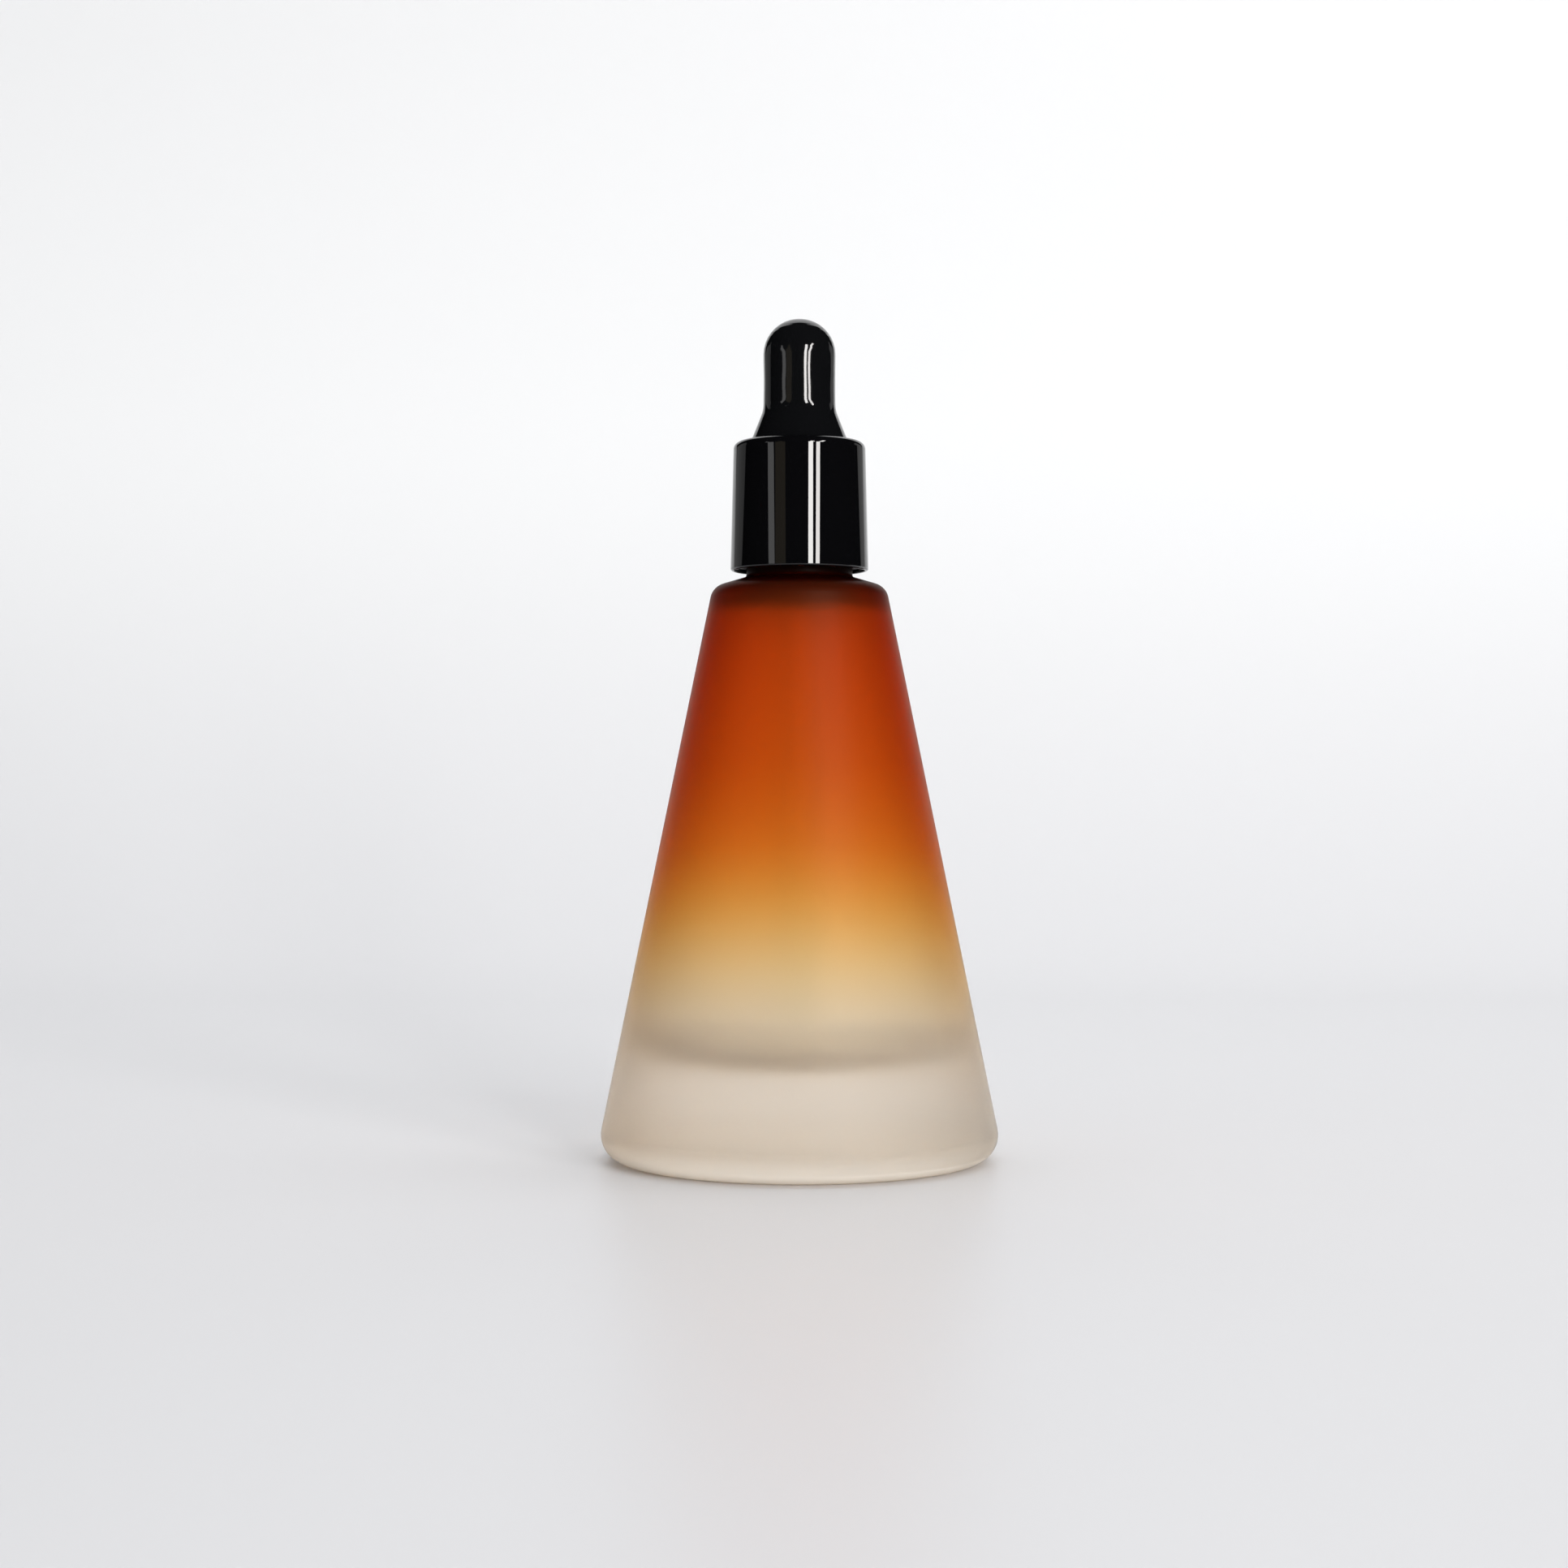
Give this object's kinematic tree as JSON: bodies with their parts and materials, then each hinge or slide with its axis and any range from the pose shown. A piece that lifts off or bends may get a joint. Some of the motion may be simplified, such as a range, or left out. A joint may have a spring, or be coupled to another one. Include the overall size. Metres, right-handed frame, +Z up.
{
  "type": "dropper bottle",
  "caption": "Conical frosted glass dropper bottle with a thick base, a sloping shoulder, a screw-on collar, a rubber bulb and a glass pipette.",
  "frame": {"origin": "centre of the foot, on the surface that the bottle stands on", "axes": "+Z up along the bottle's axis of revolution, towards the bulb; +X and +Y level, +X where the thread starts"},
  "size_m": [0.0582, 0.0582, 0.1235],
  "materials": {
    "frosted_glass": "frosted, lacquered from brick red at the shoulder through orange and amber to near white at the foot",
    "clear_glass": "clear, fire-polished",
    "collar_gloss": "mirror gloss black",
    "bulb_rubber": "satin black",
    "cap_plastic": "moulded black",
    "natural_plastic": "milky natural polyethylene"
  },
  "bodies": {
    "bottle": {"glass_bottle": "frosted_glass", "neck_wiper": "natural_plastic"},
    "washer": {"sealing_washer": "natural_plastic"},
    "pipette": {"glass_pipette": "clear_glass"},
    "collar": {"threaded_cap": "cap_plastic", "collar_shell": "collar_gloss"},
    "bulb": {"rubber_bulb": "bulb_rubber"}
  },
  "joints": [
    {"name": "dropper_lift", "type": "slide", "parent": "bottle", "child": "washer", "axis": [0, 0, 1], "range_m": [0, 0.09]},
    {"name": "thread_rise", "type": "slide", "parent": "washer", "child": "pipette", "axis": [0, 0, 1], "range_m": [0, 0.00477]},
    {"name": "collar_turn", "type": "hinge", "parent": "pipette", "child": "collar", "pos_m": [0, 0, 0.0959], "axis": [0, 0, 1], "range_deg": [0, 540]},
    {"name": "bulb_press", "type": "slide", "parent": "pipette", "child": "bulb", "axis": [0, 0, -1], "range_m": [0, 0.005], "stiffness_N_per_m": 800, "deforming": ["rubber_bulb"]}
  ],
  "couplings": [
    {"joint": "thread_rise", "follows": "collar_turn", "m_per_rad": 0.00050532}
  ]
}
